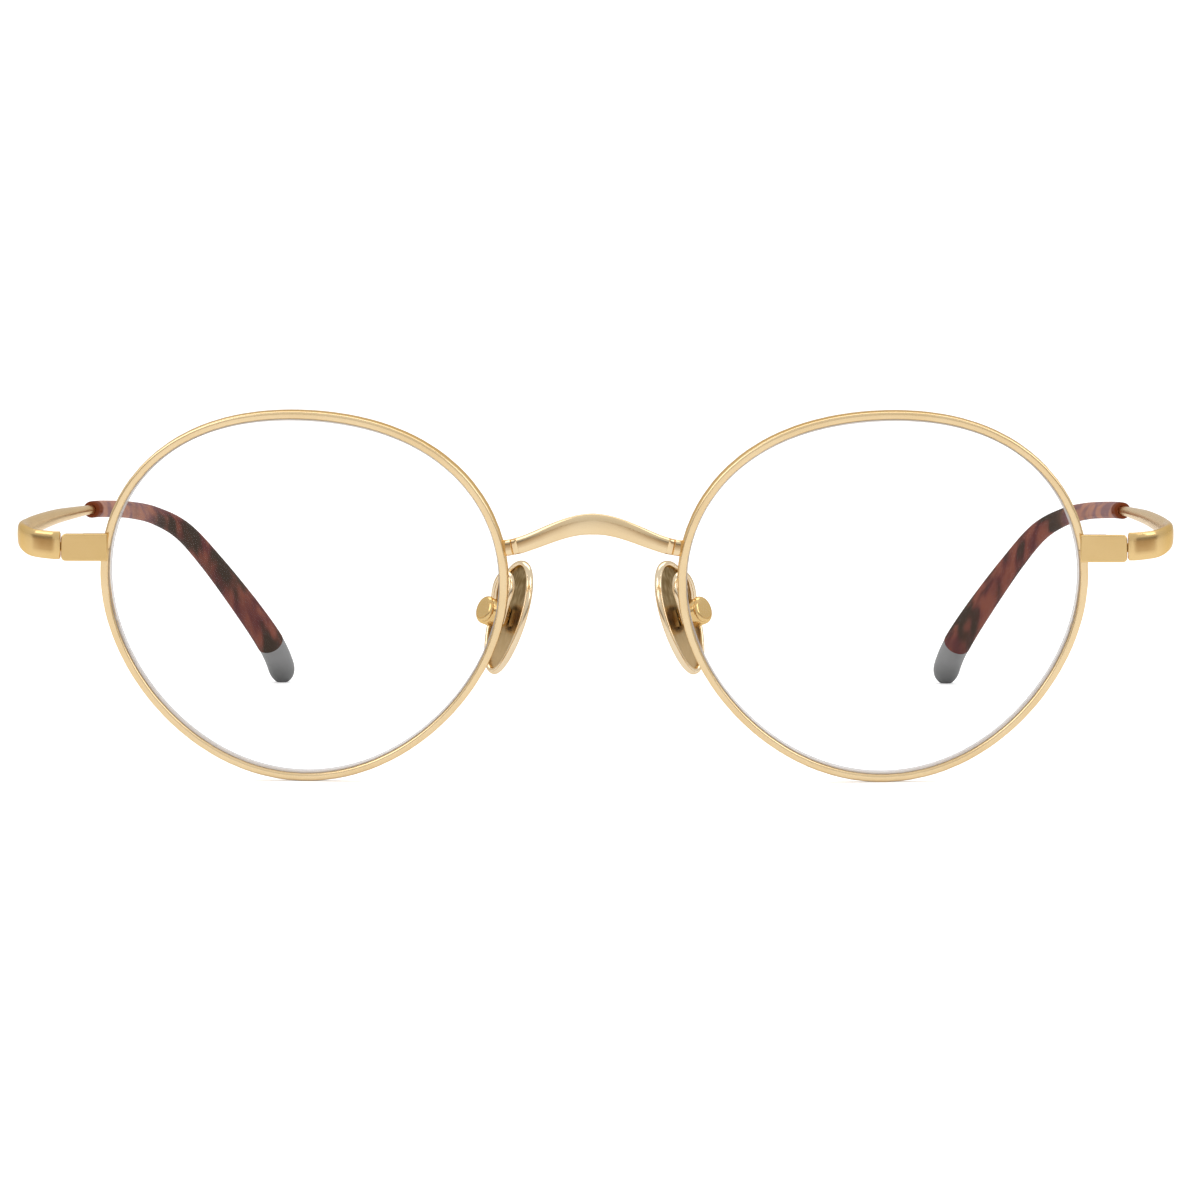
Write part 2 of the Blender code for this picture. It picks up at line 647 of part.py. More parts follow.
def make_pad_arm(parts, tools, rim_cutter, metal):
    """A bent strip from the back of the eyewire, over, and down to the box."""
    bends = [(10.95, -0.30, 19.0), (10.35, -0.12, 21.1), (9.75, 0.25, 23.0), (9.85, 0.85, 24.35),
             (10.6, 1.65, 24.75), (11.3, 2.3, 23.9), (11.7, 2.7, 22.5), (11.8, 2.9, 21.0)]
    route = [Vector((x, y, z)) * MM + Vector((0, RIM_CENTRE_Y, 0)) for x, y, z in bends]
    path = smooth_path(route, 2)
    rings = [section(p, t, 0.42 * MM, 0.3 * MM, 8, 0.7, Vector((0.6, 0.8, 0)))
             for p, t in zip(path, tangents(path))]
    arm = add_object("pad_arm_left", loft_mesh("pad_arm_left", rings), parts, metal)
    boolean(arm, rim_cutter)
    screw_at, across, nose = pad_axes()
    around = add_object("box_clearance", cylinder_mesh(
        "box_clearance", screw_at - nose * BOX_BEHIND_SCREW, -nose, BOX_RADIUS + BRAZE_GAP,
        BOX_LENGTH + 2 * BRAZE_GAP, 20, BOX_END_RADIUS + BRAZE_GAP), tools)
    boolean(arm, as_tool(around))
    return arm


# ---------------------------------------------------------------- assembly

def hang_on(pieces, name, place, collection):
    """Gives moving pieces an empty on their joint's axis as parent and origin."""
    empty = add_object(name, None, collection)
    empty.location = place
    for piece in pieces:
        piece.data.transform(Matrix.Translation(-Vector(place)))
        piece.parent = empty
    return empty


def mirrored(piece, collection, parent=None):
    """The right-hand copy of a finished left-hand piece."""
    graph = bpy.context.evaluated_depsgraph_get()
    mesh = bpy.data.meshes.new_from_object(piece.evaluated_get(graph))
    mesh.transform(piece.matrix_world)
    mesh.transform(Matrix.Scale(-1, 4, (1, 0, 0)))
    mesh.flip_normals()
    name = piece.name.replace("_left", "_right")
    mesh.name = name
    copy = add_object(name, mesh, collection)
    if parent:
        mesh.transform(Matrix.Translation(-parent.location))
        copy.parent = parent
    return copy


def main():
    clear_scene()
    parts = new_collection("eyeglasses_frame")
    tools = new_collection("construction")
    gold = make_material("gold_plate", GOLD, 0.28, 1)
    pad_gold = make_material("pad_metal", PAD_GOLD, 0.4, 1)
    screw_metal = make_material("screw_metal", STEEL, 0.3, 1)
    glass = make_material("demo_lens", GLASS, 0.05, 0)
    acetate = make_material("tortoise_acetate", TORTOISE, 0.2, 0)
    grey = make_material("grey_tip", GREY, 0.35, 0)

    rim_cutter = make_rim_cutter(tools)
    other_cutter = as_tool(mirrored(rim_cutter, tools))
    other_cutter.name = "rim_cutter_right"

    fixed = [make_rim(parts, tools, gold), make_lens(parts, glass)]
    fixed.append(make_endpiece(parts, rim_cutter, gold))
    lock_blocks, lock_at = make_lock_blocks(parts, tools, rim_cutter, gold)
    fixed += lock_blocks
    fixed.append(make_screw("lock_screw_left", lock_at - Vector((0, 0, 1.45 * MM)), (0, 0, -1),
                            LOCK_SCREW_RADIUS, 2.7 * MM, 0.7 * MM, 0.32 * MM, parts, tools,
                            screw_metal))
    fixed += make_hinge_front(parts, tools, gold)
    lug, box, pad_screw = make_pad_mount(parts, tools, pad_gold)
    arm = make_pad_arm(parts, tools, rim_cutter, gold)
    fixed += [box, pad_screw, arm]
    make_bridge(parts, tools, (rim_cutter, other_cutter), gold)

    temple_pieces = [make_hinge_temple(parts, tools, gold), make_temple(parts, gold),
                     make_sleeve(parts, acetate), make_tip_cap(parts, grey)]
    pad_pieces = [make_pad(parts, pad_gold), lug]
    screw_at = pad_axes()[0]
    hang_on(temple_pieces, "temple_axis_left", (HINGE_X, HINGE_Y, HINGE_Z), parts)
    hang_on(pad_pieces, "pad_axis_left", screw_at, parts)
    bpy.context.view_layer.update()

    temple_axis = hang_on([], "temple_axis_right", (-HINGE_X, HINGE_Y, HINGE_Z), parts)
    pad_axis = hang_on([], "pad_axis_right", (-screw_at.x, screw_at.y, screw_at.z), parts)
    for piece in fixed:
        mirrored(piece, parts)
    for piece in temple_pieces:
        mirrored(piece, parts, temple_axis)
    for piece in pad_pieces:
        mirrored(piece, parts, pad_axis)


main()
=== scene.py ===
# %% [markdown]
# # Round gold eyeglasses
#
# The frame lies open on a white table, standing on the bottoms of its two eyewires and on the
# grey claws of its temples. Every metal part is thin: the eyewire is about one millimetre wide.
# The imported solids give each piece its place. Each one is modelled again here, finer, because
# polished gold shows every flat facet. We start by loading the solids.

# %% Load the imported solids
import json
import math

import bmesh
import bpy
from mathutils import Matrix, Vector


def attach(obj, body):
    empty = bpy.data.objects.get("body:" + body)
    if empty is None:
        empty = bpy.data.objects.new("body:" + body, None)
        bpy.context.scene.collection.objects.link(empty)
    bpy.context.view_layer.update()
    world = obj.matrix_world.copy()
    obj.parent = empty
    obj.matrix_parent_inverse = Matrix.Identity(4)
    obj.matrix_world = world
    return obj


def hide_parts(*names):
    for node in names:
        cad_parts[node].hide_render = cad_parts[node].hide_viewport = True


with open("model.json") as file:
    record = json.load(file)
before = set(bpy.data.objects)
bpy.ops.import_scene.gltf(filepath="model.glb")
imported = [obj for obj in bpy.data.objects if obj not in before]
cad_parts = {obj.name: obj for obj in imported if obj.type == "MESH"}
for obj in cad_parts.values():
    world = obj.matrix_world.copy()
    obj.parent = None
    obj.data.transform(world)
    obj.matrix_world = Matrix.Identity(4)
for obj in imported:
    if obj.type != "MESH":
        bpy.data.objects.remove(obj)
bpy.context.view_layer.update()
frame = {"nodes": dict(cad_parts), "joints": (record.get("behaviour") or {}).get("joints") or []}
joints = {joint["name"]: joint for joint in frame["joints"]}
MM = 0.001
TURN = 2 * math.pi

# %% [markdown]
# The two joint lines of the left half are the reference points for everything else: the hinge
# screw beside the endpiece, and the little screw that the nose pad rocks on. The right half is
# the mirror image, so only the left half is modelled.

# %% Reference points
HINGE_BEHIND_FRONT = 2.15 * MM
RIM_OUT = 34.24 * MM
RIM_UP = 22.785 * MM
HINGE = Vector(joints["temple_left_fold"]["pos_m"])
PAD_SCREW = Vector(joints["pad_left_rock"]["pos_m"])
FRONT_Y = HINGE.y - HINGE_BEHIND_FRONT
RIM_CENTRE = Vector((RIM_OUT, FRONT_Y, RIM_UP))
print("hinge", HINGE, "pad screw", PAD_SCREW)

# %% [markdown]
# ## Camera, table and light
#
# A long lens far away keeps the two halves alike and the temples slender. It looks down a little,
# so the tops of the thin parts show. The table and the air behind it are both so bright that they
# reach plain white, with no line between them. Only the faint shade under the points that touch
# the table is left.

# %% Camera
LENS_MM = 178.5
CAMERA_AWAY = 0.7
CAMERA_OUT = 14.7 * MM
CAMERA_UP = 73.2 * MM
AIM_OUT = 0.79 * MM
AIM_UP = 21.75 * MM
camera_data = bpy.data.cameras.new("long_lens")
camera_data.lens = LENS_MM
camera_data.sensor_width = 36
camera_data.clip_start = 0.01
camera = bpy.data.objects.new("camera", camera_data)
bpy.context.scene.collection.objects.link(camera)
camera.location = (CAMERA_OUT, FRONT_Y - CAMERA_AWAY, CAMERA_UP)
aim = Vector((AIM_OUT, FRONT_Y, AIM_UP))
camera.rotation_euler = (aim - camera.location).to_track_quat("-Z", "Y").to_euler()
bpy.context.scene.camera = camera
bpy.context.scene.view_settings.view_transform = "Standard"
print("camera is", round((aim - camera.location).length, 3), "m away")

# %% [markdown]
# Shader maths reads best as sums. This class wraps one output of a node, so that
# `1 - mask * 0.5` adds the Math nodes by itself.

# %% A value in a shader


class Wire:
    """One output of a node, which can be used in a sum."""

    def __init__(self, finish, socket):
        self.finish = finish
        self.socket = socket

    def math(self, operation, *values):
        settings = {"operation": operation}
        return self.finish.node("ShaderNodeMath", settings, dict(enumerate(values)))

    def __add__(self, other):
        return self.math("ADD", self, other)

    def __radd__(self, other):
        return self.math("ADD", other, self)

    def __sub__(self, other):
        return self.math("SUBTRACT", self, other)

    def __rsub__(self, other):
        return self.math("SUBTRACT", other, self)

    def __mul__(self, other):
        return self.math("MULTIPLY", self, other)

    def __rmul__(self, other):
        return self.math("MULTIPLY", other, self)

    def step(self, low, high):
        """0 below low, 1 above high, and a smooth rise between them."""
        settings = {"interpolation_type": "SMOOTHSTEP"}
        return self.finish.node("ShaderNodeMapRange", settings, {0: self, 1: low, 2: high})


# %% [markdown]
# A finish is one material. Its `node` method adds any node: the settings go in first, then the
# values or links of its sockets. `pattern` is a noise on Object coordinates, in millimetres, so
# the grain keeps its real size on every piece. `stretch` and `turn` draw that grain out in one
# direction, for brushed metal and for streaked plastic.

# %% A finish


class Finish:
    """A material that is built from nodes, around one Principled shader."""

    def __init__(self, name, owner=None):
        owner = owner or bpy.data.materials.new(name)
        owner.use_nodes = True
        self.owner = owner
        self.tree = owner.node_tree

    def node(self, kind, settings=None, sockets=None, out=0):
        made = self.tree.nodes.new(kind)
        for key, value in (settings or {}).items():
            setattr(made, key, value)
        for key, value in (sockets or {}).items():
            if isinstance(value, Wire):
                self.tree.links.new(value.socket, made.inputs[key])
            else:
                made.inputs[key].default_value = value
        return Wire(self, made.outputs[out])

    def place(self, stretch=(1, 1, 1), turn=(0, 0, 0)):
        """Object coordinates in millimetres, turned, then squeezed where stretch is above 1."""
        at = self.node("ShaderNodeTexCoord", out="Object")
        sockets = {"Vector": at, "Rotation": turn, "Scale": [s * MM for s in stretch]}
        return self.node("ShaderNodeMapping", {"vector_type": "TEXTURE"}, sockets)

    def pattern(self, size, detail=3.0, stretch=(1, 1, 1), turn=(0, 0, 0)):
        """A noise whose features are about size millimetres across."""
        sockets = {"Vector": self.place(stretch, turn), "Scale": 1 / size, "Detail": detail}
        return self.node("ShaderNodeTexNoise", None, sockets)

    def along(self, axis):
        """One Object coordinate, in metres."""
        at = self.node("ShaderNodeTexCoord", out="Object")
        return self.node("ShaderNodeSeparateXYZ", None, {0: at}, axis)

    def mix(self, share, first, second):
        first = first if isinstance(first, Wire) else (*first, 1)
        second = second if isinstance(second, Wire) else (*second, 1)
        return self.node("ShaderNodeMix", {"data_type": "RGBA"}, {0: share, 6: first, 7: second}, 2)

    def bump(self, height, depth, strength=1.0):
        """A normal from a height that runs from 0 to 1 over depth millimetres."""
        sockets = {"Height": height, "Distance": depth * MM, "Strength": strength}
        return self.node("ShaderNodeBump", None, sockets)

    def principled(self, **sockets):
        shader = self.tree.nodes["Principled BSDF"]
        for key, value in sockets.items():
            socket = shader.inputs[key.replace("_", " ")]
            if isinstance(value, Wire):
                self.tree.links.new(value.socket, socket)
            else:
                socket.default_value = value
        return self.owner


# %% [markdown]
# The table is matt and nearly white, with a very soft mottle. In a studio it is lit from below as
# well, until the eye sees plain white. A little glow that only the camera sees does that here:
# the gold still mirrors the table at its true brightness, and the shade under it still shows.
# Polished metal that faces forward mirrors the table in front of it, so two soft brown patches of
# painted shade lie there, left and right, standing in for a studio's dark cards. They are there
# only
# to be mirrored: they give the temples and endpieces their warm tone. The glow is stronger over
# them, so that the table itself stays white to the eye.

# %% Table
TABLE_GLOW = 0.42
DARK_PATCH_SIDES = (0.08, 0.38)
DARK_PATCH_AHEAD = (0.04, 0.42)
bpy.ops.object.select_all(action="DESELECT")
bpy.ops.mesh.primitive_plane_add(size=40, location=(0, 0, -0.02 * MM))
table = bpy.context.object
table.name = "table"
paper = Finish("white_table")
mottle = paper.pattern(3.0)
white = paper.mix(mottle, (0.90, 0.90, 0.90), (0.93, 0.93, 0.93))
aside = paper.along("X").math("ABSOLUTE", paper.along("X"))
# painted shade: two brown patches on the table that only the gold mirrors, in place of dark cards
painted_dark_patch = aside.step(*DARK_PATCH_SIDES) * (paper.along("Y") * -1).step(*DARK_PATCH_AHEAD)
table_tone = paper.mix(painted_dark_patch, white, (0.40, 0.27, 0.15))
glow = paper.node("ShaderNodeLightPath", out="Is Camera Ray") * (TABLE_GLOW + painted_dark_patch)
table.data.materials.append(paper.principled(
    Base_Color=table_tone, Roughness=0.8, Specular_IOR_Level=0.1, Emission_Color=(1, 1, 1, 1),
    Emission_Strength=glow))
print("table", table.dimensions)

# %% [markdown]
# The air behind the table is white to the eye, but what the gold mirrors is a soft studio: a
# little brighter above than at eye level, and dim low down at both sides of the camera, where the
# room is unlit. Those dim corners draw the darker lines in polished gold. Only rays that come
# straight from the camera see the white.

# %% Studio air
world = bpy.data.worlds.new("studio")
bpy.context.scene.world = world
air = Finish("studio", world)
direction = air.node("ShaderNodeTexCoord", out="Generated")
up = air.node("ShaderNodeSeparateXYZ", None, {0: direction}, "Z")
back = air.node("ShaderNodeSeparateXYZ", None, {0: direction}, "Y")
height_share = up.step(-0.05, 0.75)
sideways = air.node("ShaderNodeSeparateXYZ", None, {0: direction}, "X")
sideways = sideways.math("ABSOLUTE", sideways)
dim_side = sideways.step(0.36, 0.60) * (1 - up.step(0.04, 0.16)) * (back * -1).step(-0.2, 0.3)
ROOM = 0.70
BRIGHTER_ABOVE = 0.12
DIMMER_ASIDE = 0.7
WHITE_AIR = 1.2
room = (ROOM + height_share * BRIGHTER_ABOVE) * (1 - dim_side * DIMMER_ASIDE)
seen = air.node("ShaderNodeLightPath", out="Is Camera Ray")
strength = seen * WHITE_AIR + (1 - seen) * room
background = world.node_tree.nodes["Background"]
background.inputs["Color"].default_value = (1, 1, 1, 1)
world.node_tree.links.new(strength.socket, background.inputs["Strength"])
print("air made")

# %% [markdown]
# Two large soft panels stand over the table, left and right of the camera, and a long one hangs
# behind the frame. They are plain area lights. Their size matters more than their place, because
# each of them is a broad soft streak in the metal.

# %% Soft panels


def panel(name, location, target, size, power):
    """A rectangular soft light that faces target."""
    light = bpy.data.lights.new(name, "AREA")
    light.shape = "RECTANGLE"
    light.size, light.size_y = size
    light.energy = power
    obj = bpy.data.objects.new(name, light)
    bpy.context.scene.collection.objects.link(obj)
    obj.location = location
    facing = Vector(target) - Vector(location)
    obj.rotation_euler = facing.to_track_quat("-Z", "Y").to_euler()
    return obj


panel("panel_left", (-0.55, -0.45, 0.5), (0, 0, 0.02), (0.5, 0.5), 1.1)
panel("panel_right", (0.6, -0.35, 0.45), (0, 0, 0.02), (0.4, 0.5), 0.9)
panel("panel_over", (0, 0.25, 0.75), (0, -0.02, 0.0), (0.9, 0.35), 1.5)
print("three panels")

# %% [markdown]
# ## Finishes
#
# The frame is plated in a pale gold. The plating is one metal, but it doesn't look alike all
# over: the eyewires, rim locks and hinges are left satin, the bridge is buffed, the endpieces,
# temples and pad boxes are a deeper yellow, and the pad borders and arms are paler and buffed.
# The same recipe makes them all: a slow drift in tone, a fine haze of wiping marks in the
# roughness, and a shallow waviness that keeps long reflections from being perfectly straight.
# Bare metal goes white where it is seen edge on, so the rim tone keeps it gold there.

# %% Gold


GOLD_WAVE = 0.004


def gold(name, light_tone, deep_tone, roughness, haze, rim_tone=None):
    """Gold plate. haze varies its roughness, and rim_tone is its colour seen edge on."""
    finish = Finish(name)
    drift = finish.pattern(6.0, 2.0)
    wiped = finish.pattern(0.35, 3.0)
    tone = finish.mix(drift.step(0.3, 0.7), light_tone, deep_tone)
    rough = roughness + (wiped - 0.5) * haze
    uneven = finish.pattern(2.4, 1.0)
    return finish.principled(Base_Color=tone, Metallic=1.0, Roughness=rough,
                             Specular_Tint=(*(rim_tone or deep_tone), 1),
                             Normal=finish.bump(uneven, GOLD_WAVE, 0.5))


satin_gold = gold("satin_gold", (0.87, 0.67, 0.40), (0.83, 0.62, 0.35), 0.22, 0.05)
bright_gold = gold("bright_gold", (0.87, 0.68, 0.42), (0.84, 0.64, 0.38), 0.12, 0.04)
deep_gold = gold("deep_gold", (0.82, 0.58, 0.27), (0.77, 0.53, 0.23), 0.16, 0.05,
                 rim_tone=(0.90, 0.76, 0.52))
pale_gold = gold("pale_gold", (0.86, 0.71, 0.50), (0.83, 0.66, 0.44), 0.12, 0.04)
print("gold:", satin_gold.name, bright_gold.name, deep_gold.name, pale_gold.name)

# %% [markdown]
# The floor of a nose pad isn't buffed. It is brushed along the pad and coloured dark with painted
# shade, darkest at the top, so that the bright border stands out round it. The screws are a duller,
# rougher gold.

# %% Pad floor and screw metal
pad_floor_finish = Finish("brushed_pad_floor")
# painted shade: the pad floor is dark brown at the top and lighter lower down
painted_shade_fades_below = 1 - pad_floor_finish.along("Z").step(14 * MM, 24 * MM)
brushed = pad_floor_finish.pattern(0.35, 3.0, (1, 1, 14))
pad_tone_and_painted_shade = pad_floor_finish.mix(painted_shade_fades_below, (0.22, 0.15, 0.07), (0.62, 0.46, 0.26))
pad_tone_and_painted_shade = pad_floor_finish.mix(brushed.step(0.35, 0.75) * 0.4, pad_tone_and_painted_shade, (0.70, 0.54, 0.33))
pad_floor = pad_floor_finish.principled(
    Base_Color=pad_tone_and_painted_shade, Metallic=1.0, Roughness=0.28 + brushed * 0.12,
    Specular_Tint=(0.5, 0.38, 0.22, 1), Normal=pad_floor_finish.bump(brushed, 0.01, 0.5))
screw_gold = gold("screw_gold", (0.80, 0.62, 0.37), (0.66, 0.50, 0.29), 0.25, 0.16)
print("metal:", pad_floor.name, screw_gold.name)

# %% [markdown]
# The demonstration lens is a thin clear plastic. It is seen only by its edge, where the grinding
# wheel left a frosted bevel. The clear part is nearly transparent, with faint wiping marks in
# its gloss. The bevel is a milky grey.

# %% Lens
lens = Finish("clear_lens")
smudge = lens.pattern(9.0, 3.0)
lens_tone = lens.mix(smudge, (0.22, 0.24, 0.24), (0.16, 0.18, 0.18))
clear_lens = lens.principled(Base_Color=lens_tone, Roughness=0.03 + smudge * 0.07, Alpha=0.012,
                             IOR=1.5)
edge = Finish("frosted_lens_edge")
ground = edge.pattern(0.15, 3.0)
edge_tone = edge.mix(ground, (0.60, 0.57, 0.56), (0.80, 0.78, 0.77))
frosted_edge = edge.principled(Base_Color=edge_tone, Roughness=0.45 + ground * 0.2, Alpha=0.8,
                               Normal=edge.bump(ground, 0.01))
for see_through in (clear_lens, frosted_edge):
    see_through.blend_method = "BLEND"
print("lens:", clear_lens.name, frosted_edge.name)

# %% [markdown]
# The sleeves are tortoise acetate: red-brown with long dark streaks, and a clearer mauve stretch
# near the mouth, where the gold wire inside lights it up. The mouth itself has a dark red ring.
# The distance behind the mouth picks the zone, and noise that is drawn out along the drop of the
# sleeve makes the streaks. The gloss is a thin clear coat, because a plain one bleaches the
# dark colour wherever the sleeve curves away.

# %% Tortoise acetate
MOUTH_Y = FRONT_Y + 80 * MM
DROP = (math.radians(-36), 0, 0)
tortoise = Finish("tortoise_acetate")
behind = (tortoise.along("Y") - MOUTH_Y) * 1000
cloud = tortoise.pattern(3.4, 1.5, (1, 3.6, 1), DROP)
streak = tortoise.pattern(1.3, 1.5, (1, 7.0, 1), DROP)
blotch = (cloud * 0.75 + streak * 0.25).step(0.44, 0.58)
warm = tortoise.mix(streak.step(0.35, 0.65), (0.215, 0.070, 0.048), (0.110, 0.034, 0.034))
body_tone = tortoise.mix(blotch, warm, (0.050, 0.033, 0.024))
mauve = tortoise.mix(streak.step(0.40, 0.60), (0.42, 0.21, 0.15), (0.25, 0.14, 0.14))
ring_end = (behind + (streak - 0.5) * 1.5).step(2.0, 3.0)
to_body = (behind + (cloud - 0.5) * 12).step(10.0, 27.0)
near_mouth = tortoise.mix(ring_end, (0.160, 0.034, 0.009), mauve)
tone = tortoise.mix(to_body, near_mouth, body_tone)
sheen = 0.30 + cloud * 0.1
acetate = tortoise.principled(Base_Color=tone, Roughness=sheen, Specular_IOR_Level=0.0,
                              Coat_Weight=0.12, Coat_Roughness=0.12)
print("acetate:", acetate.name)

# %% [markdown]
# The claws at the tips are a plain grey plastic, moulded and not polished, so they have a soft
# sheen and a slightly lighter bloom in places. Their lowest few millimetres, next to the table, are
# darkened with painted shade.

# %% Grey claw
claw_finish = Finish("grey_acetate")
bloom = claw_finish.pattern(2.5, 2.0)
claw_tone = claw_finish.mix(bloom, (0.20, 0.20, 0.20), (0.27, 0.27, 0.27))
# painted shade: darker in the lowest millimetres, where the claw stands on the table
painted_foot_shade = 1 - claw_finish.along("Z").step(0.5 * MM, 4 * MM)
claw_tone = claw_finish.mix(painted_foot_shade, claw_tone, (0.14, 0.14, 0.14))
grey_acetate = claw_finish.principled(Base_Color=claw_tone, Roughness=0.34 + bloom * 0.12,
                                      Specular_IOR_Level=0.3)
print("claw:", grey_acetate.name)

# %% [markdown]
# ## Helpers for making pieces
#
# An operator works on whatever is selected, so each piece starts from nothing selected. Most
# pieces here are one section drawn along a line. The simplest way to model that by hand is a
# cylinder cut into many bands, whose rings are then put in their places one after another.

# %% Selecting and editing


def fresh():
    """Nothing selected, in object mode."""
    bpy.ops.object.select_all(action="DESELECT")


def pick(obj, edges=None, faces=None):
    """In edit mode, selects only the edges or the faces for which the test says yes."""
    kind = "EDGE" if edges else "FACE"
    bpy.ops.mesh.select_mode(type=kind)
    bpy.ops.mesh.select_all(action="DESELECT")
    mesh = bmesh.from_edit_mesh(obj.data)
    mesh.normal_update()
    for item in mesh.edges if edges else mesh.faces:
        if (edges or faces)(item):
            item.select_set(True)
    bmesh.update_edit_mesh(obj.data)


def closed_up(obj, angle=35):
    """Merges doubles, turns all faces outwards and shades smoothly except at sharp edges."""
    bpy.ops.object.mode_set(mode="EDIT")
    bpy.ops.mesh.select_all(action="SELECT")
    bpy.ops.mesh.remove_doubles(threshold=0.0005 * MM)
    bpy.ops.mesh.normals_make_consistent(inside=False)
    bpy.ops.object.mode_set(mode="OBJECT")
    bpy.ops.object.shade_smooth_by_angle(angle=math.radians(angle))
    return obj


# %% Drawing a section along a line


def lofted(rings, angle=35):
    """A closed skin through a chain of rings that all have the same number of points."""
    fresh()
    sides = len(rings[0])
    bpy.ops.mesh.primitive_cylinder_add(vertices=sides, radius=1, depth=2)
    obj = bpy.context.object
    bpy.ops.object.mode_set(mode="EDIT")
    pick(obj, edges=lambda edge: abs(edge.verts[0].co.z - edge.verts[1].co.z) > 1)
    bpy.ops.mesh.subdivide(number_cuts=len(rings) - 2)
    bpy.ops.object.mode_set(mode="OBJECT")
    for vertex in obj.data.vertices:
        x, y, z = vertex.co
        ring = round((z + 1) / 2 * (len(rings) - 1))
        side = round(math.atan2(x, y) / TURN * sides) % sides
        vertex.co = rings[ring][side]
    return closed_up(obj, angle)


def smooth_path(points, per_span):
    """Points along the smooth curve through the given points."""
    ends = [2 * points[0] - points[1], *points, 2 * points[-1] - points[-2]]
    path = []
    for a, b, c, d in zip(ends, ends[1:], ends[2:], ends[3:]):
        for step in range(per_span):
            t = step / per_span
            path.append(0.5 * (2 * b + (c - a) * t + (2 * a - 5 * b + 4 * c - d) * t * t
                               + (3 * b - a - 3 * c + d) * t ** 3))
    path.append(points[-1])
    return path


def headings(path):
    inner = [(after - before).normalized() for before, after in zip(path, path[2:])]
    return [(path[1] - path[0]).normalized(), *inner, (path[-1] - path[-2]).normalized()]


def oval(centre, heading, thick, high, sides=32, boxy=1.0, up=Vector((0, 0, 1))):
    """A ring across a line: an ellipse, or nearer a rounded rectangle as boxy falls below 1."""
    across = heading.cross(up).normalized()
    upward = across.cross(heading)
    ring = []
    for k in range(sides):
        turn = TURN * (k + 0.5) / sides
        c = math.copysign(abs(math.cos(turn)) ** boxy, math.cos(turn))
        s = math.copysign(abs(math.sin(turn)) ** boxy, math.sin(turn))
        ring.append(centre + across * thick * c + upward * high * s)
    return ring


def eased(corners, steps=4):
    """An outline with rounded corners. Each corner is x, y and how far its rounding reaches."""
    outline = []
    for before, here, after in zip(corners[-1:] + corners, corners, corners[1:] + corners[:1]):
        point = Vector(here[:2])
        if not here[2]:
            outline.append(point)
            continue
        start = point + (Vector(before[:2]) - point).normalized() * here[2]
        end = point + (Vector(after[:2]) - point).normalized() * here[2]
        for step in range(steps + 1):
            t = step / steps
            outline.append(start * (1 - t) ** 2 + point * 2 * t * (1 - t) + end * t * t)
    return outline


def between(a, b, t):
    t = min(max(t, 0), 1)
    return a + (b - a) * t


# %% [markdown]
# Each finished piece takes its materials, rides on a body of the frame and stands for its plain
# solid. The right-hand twin is a mirrored copy with its own mesh. Mirroring turns the faces
# inside out, so they are flipped back.

# %% Handing a piece over


def hand_over(obj, node, body, name):
    obj.name = name
    obj.data.name = name
    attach(obj, body)
    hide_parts(node)


def give(obj, finishes, chooser=None):
    """Puts materials on a piece. chooser says which of them each face takes."""
    obj.data.materials.clear()
    for finish in finishes:
        obj.data.materials.append(finish)
    for face in obj.data.polygons:
        face.material_index = chooser(face) if chooser else 0


def both_sides(obj, node, body, name):
    """Hands over a left-hand piece and its mirrored right-hand twin."""
    twin = obj.copy()
    twin.data = obj.data.copy()
    bpy.context.scene.collection.objects.link(twin)
    twin.data.transform(Matrix.Scale(-1, 4, (1, 0, 0)))
    twin.data.flip_normals()
    for side, piece in (("left", obj), ("right", twin)):
        rides = body if body == "front" else f"{body}_{side}"
        hand_over(piece, f"{node}_{side}", rides, f"{name}_{side}")
    print(name, len(obj.data.polygons), "faces a side")


# %% [markdown]
# ## Eyewires
#
# The eyewire is a profiled wire bent round the lens, with a groove inside it. Its outline is not
# a circle: it is a little wider than high and slightly flattened at the top inner corner. It is
# cut on the temple side, where the two ends meet in the rim lock. A spin would only give a true
# circle, so the section is drawn along the outline instead, as one long open loft.

# %% The outline and its plane
RIM_RADIUS = 23.22 * MM
RIM_HALF_WIDTH = 0.465 * MM
RIM_HALF_DEPTH = 0.875 * MM
GROOVE = 0.42 * MM
TILT = math.radians(7)
WRAP = math.radians(5)


def outline_radius(turn):
    """Outer edge of the eyewire: 0 is towards the temple, a quarter turn is up."""
    wave = 0.99 * math.cos(2 * turn) + 0.06 * math.sin(2 * turn)
    wave += 0.65 * math.sin(3 * turn) - 0.11 * math.cos(3 * turn)
    return RIM_RADIUS + wave * MM


def outline_point(turn, inset, forward=0.0):
    radius = outline_radius(turn) - inset
    return Vector((radius * math.cos(turn), radius * math.sin(turn), forward))


lean = Matrix.Rotation(math.radians(90) + TILT, 4, "X")
rim_plane = Matrix.Translation(RIM_CENTRE) @ Matrix.Rotation(WRAP, 4, "Z") @ lean
SPLIT = math.asin((HINGE.z - RIM_CENTRE.z) / math.cos(TILT) / outline_radius(math.radians(10)))
print("the eyewire is split", round(math.degrees(SPLIT), 1), "degrees above level")

